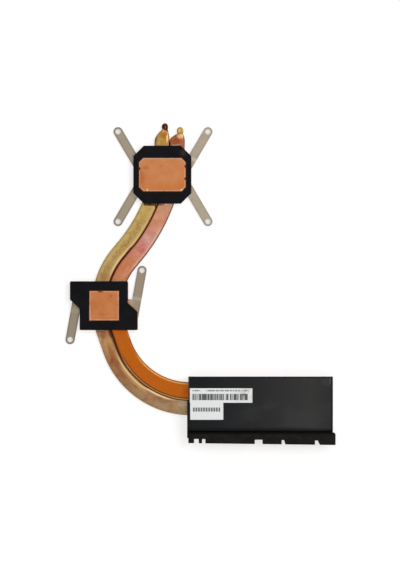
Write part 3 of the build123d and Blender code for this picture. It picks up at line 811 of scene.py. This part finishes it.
def gpu_arm_steel():
    """Steel of the graphics springs, whose arms lean a little."""
    lean_x = math.sin(GPU_ARM_LEAN)
    lean_y = math.cos(GPU_ARM_LEAN)

    def folded(paint):
        x = axis(paint, "X") - GPU_HOLES[0]
        y = axis(paint, "Y") - GPU_HOLES[1]
        side = paint.math("SIGN", x)
        return x * side - GPU_HOLE_X, y * side - GPU_HOLE_Y

    def across(paint):
        x, y = folded(paint)
        return x * lean_y - y * lean_x

    def along_arm(paint):
        x, y = folded(paint)
        return x * lean_x + y * lean_y

    tint = ("#948773", "#988876")
    return spring_steel("graphics_spring_steel", across, along_arm, tint, -GPU_ARM_BEND, 0, GPU_ARM_PAINTED_LIGHT)


def rivet_steel():
    """Rivet steel, with painted dark shade on their upper ends in the groove round the pads."""
    made, paint = new_material("rivet_steel")
    cloud = noise(paint, place(paint), 900, 3)
    body = blend(paint, rise(paint, cloud, 0.3, 0.7), colour("#8f8b84"), colour("#b0aca4"))
    # painted shade on the rivets' upper ends in the groove
    shaded_end = rise(paint, axis(paint, "Z"), -1.4 * MM, -1.2 * MM)
    body = blend(paint, shaded_end * 0.95, body, colour("#1a0f09"))
    surface(paint, {
        "Base Color": body,
        "Metallic": 1 - shaded_end * 0.8,
        "Roughness": 0.32 + cloud * 0.15,
        "Normal": bump(paint, cloud, 0.03 * MM, 0.4),
    })
    return made


def fin_aluminium():
    """Mill-finish aluminium fins with faint rolling lines, dark on top where the film is cut back."""
    made, paint = new_material("fin_aluminium")
    lines = noise(paint, stretched(paint, 200, 200, 4200), 1.0, 2)
    cloud = noise(paint, place(paint), 260, 3)
    body = blend(paint, rise(paint, cloud, 0.3, 0.7), colour("#b4b6b8"), colour("#c9cbcd"))
    body = blend(paint, rise(paint, lines, 0.5, 0.8) * 0.3, body, colour("#dadcde"))
    low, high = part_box("fin_stack")
    top = high[2]
    margin = 1 - rise(paint, axis(paint, "X"), low[0] + 0.9 * MM, low[0] + 1.0 * MM)
    margin = margin * rise(paint, axis(paint, "Z"), top - 0.12 * MM, top - 0.05 * MM)
    body = blend(paint, margin, body, colour("#0a0b0e"))
    surface(paint, {
        "Base Color": body,
        "Metallic": 1 - margin,
        "Roughness": 0.34 + cloud * 0.12 + margin * 0.2,
        "Normal": bump(paint, lines, 0.02 * MM, 0.5),
    })
    return made


def cover_film():
    """Dark film over the fins: bluish at the labels and painted lighter at the far end, with painted sheen,
    painted highlights near the far edge and corner, darker margins and painted shade on the roll.
    """
    made, paint = new_material("dark_cover_film")
    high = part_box("fin_cover_film")[1]
    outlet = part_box("fin_stack")[0][1]
    x = axis(paint, "X")
    y = axis(paint, "Y")
    cloud = noise(paint, stretched(paint, 42, 60, 42), 1.0, 3)
    speckle = noise(paint, place(paint), 1400, 2)
    # bluish at the labels, painted lighter towards the far end where more light falls
    body = along(paint, x, COVER_LIT_TONES)
    sheen = rise(paint, cloud, 0.42, 0.65) * rise(paint, x, *COVER_SHEEN_FADE)
    body = blend(paint, sheen * 0.5, body, colour("#333333"))
    body = blend(paint, rise(paint, speckle, 0.6, 0.8) * 0.25, body, colour("#363636"))
    # painted highlight: a light line near the far edge and a lighter far corner
    fold = band(paint, x, high[0] - 1.9 * MM, high[0] - 1.3 * MM, 0.25 * MM)
    fold = fold * rise(paint, y, high[1] - 6 * MM, high[1] - 1 * MM)
    corner = patch(paint, (high[0] - 3 * MM, high[1] - 2.5 * MM), 6 * MM, 4 * MM)
    body = blend(paint, fold * 0.5 + corner * 0.15, body, colour("#565656"))
    top_margin = rise(paint, y, high[1] - 0.85 * MM, high[1] - 0.65 * MM)
    far_margin = rise(paint, x, high[0] - 1.2 * MM, high[0] - 0.9 * MM)
    margin = paint.math("MAXIMUM", top_margin, far_margin)
    body = blend(paint, margin * 0.9, body, colour("#020203"))
    # painted shade on the roll at the outlet
    slip = rise(paint, x, *COVER_ROLL_FAR_FADE) * 0.8 - (1 - rise(paint, x, *COVER_ROLL_NEAR_FADE)) * 0.4
    roll = 1 - rise(paint, y + slip * MM, outlet - 1.6 * MM, outlet + 1.2 * MM)
    body = blend(paint, roll * 0.8, body, colour("#070708"))
    surface(paint, {
        "Base Color": body,
        "Roughness": 0.46 + cloud * 0.18,
        "Specular IOR Level": 0.15,
        "Normal": bump(paint, cloud, 0.4 * MM, 0.25),
    })
    return made


def seal_foam():
    """Brownish black foam with fine open cells."""
    made, paint = new_material("seal_foam")
    cells = paint.node("ShaderNodeTexVoronoi", None, {"Vector": place(paint), "Scale": 2600.0})
    cloud = noise(paint, place(paint), 220, 3)
    body = blend(paint, rise(paint, cloud, 0.3, 0.7), colour("#171514"), colour("#201d1a"))
    body = blend(paint, (1 - rise(paint, cells, 0.1, 0.5)) * 0.6, body, colour("#0b0908"))
    film_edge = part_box("vent_seal_strip")[1][1]
    shaded = rise(paint, axis(paint, "Y"), film_edge - 1.4 * MM, film_edge - 0.8 * MM)
    body = blend(paint, shaded * 0.8, body, colour("#070606"))
    surface(paint, {
        "Base Color": body,
        "Roughness": 0.92,
        "Specular IOR Level": 0.1,
        "Normal": bump(paint, cells, 0.12 * MM, 0.6),
    })
    return made


def printed_bars(paint, value, pitch, share):
    """A row of printed bars of one pitch: 1 where a bar is printed, by chance for each place in the row."""
    cell = paint.math("FLOOR", value / pitch)
    chance = paint.node("ShaderNodeTexWhiteNoise", {"noise_dimensions": "1D"}, {"W": cell})
    return paint.math("LESS_THAN", chance, share)


def printed_blocks(paint, value, pitch, width):
    """A row of equal printed blocks."""
    return paint.math("LESS_THAN", paint.math("FLOORED_MODULO", value, pitch), width)


def label_paper(name, node, print_rows):
    """White label paper with plain grey print, a little soiled towards its far end."""
    made, paint = new_material(name)
    low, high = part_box(node)
    x = axis(paint, "X") - low[0]
    y = high[1] - axis(paint, "Y")
    fibre = noise(paint, place(paint), 1100, 3)
    soil = noise(paint, place(paint), 260, 4)
    body = blend(paint, rise(paint, fibre, 0.3, 0.7), colour("#d9dbda"), colour("#e2e4e3"))
    soiled = rise(paint, x, *SOIL_FADE) * rise(paint, soil, 0.35, 0.65)
    body = blend(paint, soiled * 0.6, body, colour("#b9b9b0"))
    for printed, ink in print_rows(paint, x, y):
        body = blend(paint, printed, body, colour(ink))
    surface(paint, {
        "Base Color": body,
        "Roughness": 0.5 + fibre * 0.15,
        "Specular IOR Level": 0.25,
        "Normal": bump(paint, fibre, 0.02 * MM, 0.3),
    })
    return made


def upper_label_print(paint, x, y):
    """A row of fine dashes in groups, a row of taller bars under it, and a smudge near its far end."""
    groups = printed_bars(paint, x - GROUP_START, GROUP_PITCH, GROUP_SHARE)
    dashes = printed_bars(paint, x, DASH_PITCH, DASH_SHARE) * groups
    dashes = dashes * band(paint, x, *DASH_SPAN) * band(paint, y, *DASH_ROW)
    bars = printed_bars(paint, x, BAR_PITCH, BAR_SHARE)
    bars = bars * band(paint, x, *BAR_SPAN) * band(paint, y, *BAR_ROW)
    smudge = patch(paint, at_pixel(*SMUDGE_PIXEL), *SMUDGE_HALF) * 0.7
    return [(dashes, "#868686"), (bars, "#565655"), (smudge, "#4a4b43")]


def lower_label_print(paint, x, y):
    """A row of plain blocks."""
    blocks = printed_blocks(paint, x - BLOCK_SPAN[0], BLOCK_PITCH, BLOCK_WIDTH)
    blocks = blocks * band(paint, x, *BLOCK_SPAN) * band(paint, y, *BLOCK_ROW)
    return [(blocks, "#6a6a6b")]


def solder(name, dark, light):
    """Dull solder with flux stains."""
    made, paint = new_material(name)
    cloud = noise(paint, place(paint), 700, 4)
    body = blend(paint, rise(paint, cloud, 0.35, 0.68), colour(dark), colour(light))
    surface(paint, {
        "Base Color": body,
        "Metallic": 1.0,
        "Roughness": 0.42 + cloud * 0.2,
        "Normal": bump(paint, cloud, 0.08 * MM, 0.5),
    })
    return made


def deselect():
    bpy.ops.object.select_all(action="DESELECT")


def edit(piece):
    """Select one piece alone and open it in edit mode."""
    deselect()
    bpy.context.view_layer.objects.active = piece
    piece.select_set(True)
    bpy.ops.object.mode_set(mode="EDIT")
    bpy.ops.mesh.select_all(action="DESELECT")
    bpy.ops.object.mode_set(mode="OBJECT")


def pick(piece, test):
    """Select the vertices whose place passes a test, and go back to edit mode."""
    bpy.ops.object.mode_set(mode="OBJECT")
    for vertex in piece.data.vertices:
        vertex.select = test(vertex.co)
    for edge in piece.data.edges:
        edge.select = all(piece.data.vertices[i].select for i in edge.vertices)
    for face in piece.data.polygons:
        face.select = all(piece.data.vertices[i].select for i in face.vertices)
    bpy.ops.object.mode_set(mode="EDIT")
    bpy.ops.mesh.select_mode(type="VERT")


def block(name, low, high):
    """A box between two corners, as the start of a piece."""
    deselect()
    middle = [(a + b) / 2 for a, b in zip(low, high)]
    size = [b - a for a, b in zip(low, high)]
    bpy.ops.mesh.primitive_cube_add(size=1, location=middle, scale=size)
    piece = bpy.context.object
    piece.name = name
    bpy.ops.object.transform_apply(location=True, rotation=True, scale=True)
    return piece


def apply_modifier(piece, kind, settings):
    deselect()
    bpy.context.view_layer.objects.active = piece
    piece.select_set(True)
    made = piece.modifiers.new(kind.lower(), kind)
    for name, value in settings.items():
        setattr(made, name, value)
    bpy.ops.object.modifier_apply(modifier=made.name)


def notch_cutter(start, width, splay, low, high):
    """A block as deep as one notch, its far side splayed outwards."""
    length = high[0] - low[0]
    left = low[0] + start
    edge = high[1] - SEAL_NEAR - (SEAL_FAR - SEAL_NEAR) * start / length
    root = edge + NOTCH_DEPTH
    mouth = low[1] - NOTCH_DEPTH
    cutter = block("notch_cutter", (left, mouth, low[2] - MM), (left + width, root, high[2] + MM))
    if splay:
        edit(cutter)
        pick(cutter, lambda v: v.y < root - MM and v.x > left + width / 2)
        bpy.ops.transform.translate(value=(splay * (root - mouth) / NOTCH_DEPTH, 0, 0))
        bpy.ops.object.mode_set(mode="OBJECT")
    return cutter


def seal_strip(finish):
    """The foam strip along the vent: wider at its far end, notched, with soft edges."""
    low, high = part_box("vent_seal_strip")
    strip = block("foam_seal", low, high)
    edit(strip)
    pick(strip, lambda v: v.y < low[1] + MM and v.x < low[0] + MM)
    bpy.ops.transform.translate(value=(0, SEAL_FAR - SEAL_NEAR, 0))
    pick(strip, lambda v: v.y > high[1] - MM and v.x > high[0] - MM)
    bpy.ops.mesh.bevel(offset=SEAL_CORNER, segments=5, affect="EDGES")
    bpy.ops.object.mode_set(mode="OBJECT")
    for start, width, splay in NOTCHES:
        cutter = notch_cutter(start, width, splay, low, high)
        apply_modifier(strip, "BOOLEAN", {"object": cutter, "operation": "DIFFERENCE", "solver": "EXACT"})
        bpy.data.objects.remove(cutter)
    apply_modifier(strip, "BEVEL", {
        "width": SEAL_SOFT_EDGE, "segments": 3, "limit_method": "ANGLE", "angle_limit": math.radians(35),
    })
    bpy.ops.object.shade_smooth_by_angle(angle=math.radians(40))
    strip.data.materials.clear()
    strip.data.materials.append(finish)
    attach(strip, "root")
    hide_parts("vent_seal_strip")


def pipe_middle_x(side, y):
    """Where a pipe's middle line crosses a level, above the last bend."""
    offset = side * PIPE_OFFSET
    if y > FIRST_BEND_Y:
        return PAIR_X + offset
    if y > slant_y:
        return first_bend[0] + math.sqrt((FIRST_BEND_RADIUS + offset) ** 2 - (y - first_bend[1]) ** 2)
    return plate_bend[0] - math.sqrt((PLATE_BEND_RADIUS - offset) ** 2 - (y - plate_bend[1]) ** 2)


def solder_bead(name, plate, end, side, span, run, finish):
    """An uneven bead of solder in the corner between a pipe's top and a plate's end."""
    low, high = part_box(plate)
    edge = high[1] if end > 0 else low[1]
    far = edge + end * run
    near = edge - end * BEAD_SINK
    middle = pipe_middle_x(side, edge)
    bottom = low[2] - BEAD_SINK
    top = low[2] + BEAD_RISE
    bead = block(
        name,
        (middle + span[0] * MM, min(near, far), bottom),
        (middle + span[1] * MM, max(near, far), top),
    )
    edit(bead)
    pick(bead, lambda v: abs(v.y - far) < run / 2 and v.z > low[2])
    bpy.ops.transform.translate(value=(0, 0, -BEAD_TAPER))
    bpy.ops.mesh.select_all(action="SELECT")
    bpy.ops.mesh.subdivide(number_cuts=3)
    bpy.ops.transform.vertex_random(offset=BEAD_UNEVENNESS, seed=len(name))
    bpy.ops.object.mode_set(mode="OBJECT")
    apply_modifier(bead, "SUBSURF", {"levels": 2, "render_levels": 2})
    bpy.ops.object.shade_smooth()
    bead.data.materials.clear()
    bead.data.materials.append(finish)
    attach(bead, "root")


def screw_holes():
    """The middles of the six screw holes."""
    holes = [(GPU_HOLES[0] + side * GPU_HOLE_X, GPU_HOLES[1] + side * GPU_HOLE_Y) for side in (-1, 1)]
    for side in (-1, 1):
        for end in (-1, 1):
            holes.append((CPU_HOLES[0] + side * CPU_HOLE_HALF, CPU_HOLES[1] + end * CPU_HOLE_HALF))
    return holes


def studio_floor():
    """A floor that glows white to the camera, painted dark brown as shade in the pipes' slit and shaded under
    the screw holes.
    """
    deselect()
    bpy.ops.mesh.primitive_plane_add(size=FLOOR_SIZE, location=(0, 0, cad_low[2] - FLOOR_DROP))
    floor = bpy.context.object
    floor.name = "floor"
    made, paint = new_material("pale_floor")
    direct = paint.node("ShaderNodeLightPath", output="Is Camera Ray")
    glossy = paint.node("ShaderNodeLightPath", output="Is Glossy Ray")
    through = paint.node("ShaderNodeLightPath", output="Is Transmission Ray")
    seen = paint.math("MINIMUM", direct + glossy + through, 1)
    slit = band(paint, pipe_across(paint, OUTER), PIPE_WIDTH / 2 - MM, PIPE_WIDTH / 2 + MM)
    slit = slit * band(paint, axis(paint, "X"), cad_low[0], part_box("fin_stack")[0][0])
    slit = slit * paint.math("LESS_THAN", axis(paint, "Y"), FIRST_BEND_Y)
    shade = slit
    for hole in screw_holes():
        shade = shade + patch(paint, hole, HOLE_SHADE_RADIUS, HOLE_SHADE_RADIUS, core=0.5) * HOLE_SHADE
    # painted shade: dark brown floor under the pipes' slit, which does not glow there
    grey = blend(paint, slit, colour("#b4b2b0"), colour("#461000"))
    matt = paint.node("ShaderNodeBsdfDiffuse", None, {"Color": grey})
    strength = seen * (1 - shade) * FLOOR_GLOW
    glow = paint.node("ShaderNodeEmission", None, {"Color": (1, 1, 1, 1), "Strength": strength})
    both = paint.node("ShaderNodeAddShader", None, {0: matt, 1: glow})
    paint.node("ShaderNodeOutputMaterial", None, {"Surface": both})
    floor.data.materials.append(made)


def studio_surround():
    """Soft white light from above, fading towards the horizon and stronger on the right."""
    world = bpy.data.worlds.new("soft_surround")
    world.use_nodes = True
    world.node_tree.nodes.clear()
    bpy.context.scene.world = world
    paint = Wire(world.node_tree)
    direction = paint.node("ShaderNodeTexCoord", output="Generated")
    right = paint.node("ShaderNodeSeparateXYZ", None, {0: direction}, "X")
    up = paint.node("ShaderNodeSeparateXYZ", None, {0: direction}, "Z")
    level = SURROUND_LOW + rise(paint, up, 0.0, 0.9) * SURROUND_RISE + right * SURROUND_RIGHT
    light = paint.node("ShaderNodeBackground", None, {"Color": (1, 1, 1, 1), "Strength": level})
    paint.node("ShaderNodeOutputWorld", None, {"Surface": light})


def lamp(name, spot_at, target, size, power):
    """A square soft lamp that looks at a place."""
    deselect()
    bpy.ops.object.light_add(type="AREA", location=spot_at)
    made = bpy.context.object
    made.name = name
    made.data.size = size
    made.data.energy = power
    aim = [b - a for a, b in zip(spot_at, target)]
    made.rotation_mode = "QUATERNION"
    made.rotation_quaternion = Vector(aim).to_track_quat("-Z", "Y")


def photo_camera():
    """Straight above the middle of the photo's frame, with a long lens."""
    middle = at_pixel(PHOTO_WIDTH / 2, PHOTO_HEIGHT / 2)
    data = bpy.data.cameras.new("photo_camera")
    data.lens = LENS
    data.sensor_width = SENSOR
    data.clip_end = CAMERA_FAR
    camera = bpy.data.objects.new("photo_camera", data)
    camera.location = (*middle, PHOTO_HEIGHT * PIXEL * LENS / SENSOR)
    bpy.context.scene.collection.objects.link(camera)
    bpy.context.scene.camera = camera


processor_steel = cpu_arm_steel()
graphics_steel = gpu_arm_steel()
rivets = rivet_steel()
finishes = {
    "heat_pipe_outer": outer_pipe_copper(),
    "heat_pipe_inner": inner_pipe_copper(),
    "cpu_cold_plate": ground_copper(
        "processor_plate_copper", "cpu_cold_plate", CPU_PAD, ("#bd784a", "#c38254"), 0.7,
        CPU_PAD_STAINS, CPU_PAD_HIGHLIGHTS,
    ),
    "gpu_cold_plate": ground_copper(
        "graphics_plate_copper", "gpu_cold_plate", GPU_PAD, ("#bb7243", "#c37d4e"), 0.8,
        GPU_PAD_STAINS, GPU_PAD_EDGE_LIGHT_AND_SHADE,
    ),
    "cpu_insulating_film": black_film("processor_film", CPU_FILM_SCUFFS_AND_SHEEN),
    "gpu_insulating_film": black_film("graphics_film", {}),
    "cpu_spring_right": processor_steel,
    "cpu_spring_left": processor_steel,
    "gpu_spring_right": graphics_steel,
    "gpu_spring_left": graphics_steel,
    "cpu_spring_rivets": rivets,
    "gpu_spring_rivets": rivets,
    "fin_stack": fin_aluminium(),
    "fin_cover_film": cover_film(),
    "label_upper": label_paper("upper_label_paper", "label_upper", upper_label_print),
    "label_lower": label_paper("lower_label_paper", "label_lower", lower_label_print),
}
for node, finish in finishes.items():
    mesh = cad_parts[node].data
    mesh.materials.clear()
    mesh.materials.append(finish)

seal_strip(seal_foam())

solders = {name: solder(name, *tones) for name, tones in SOLDER_TONES.items()}
for name, (plate, end, side, span, run, finish) in BEADS.items():
    solder_bead(name, plate, end, side, span, run * MM, solders[finish])

studio_floor()
studio_surround()
lamp("window_lamp", LAMP_PLACE, LAMP_AIM, LAMP_SIZE, LAMP_POWER)
photo_camera()
bpy.context.scene.view_settings.view_transform = "Standard"
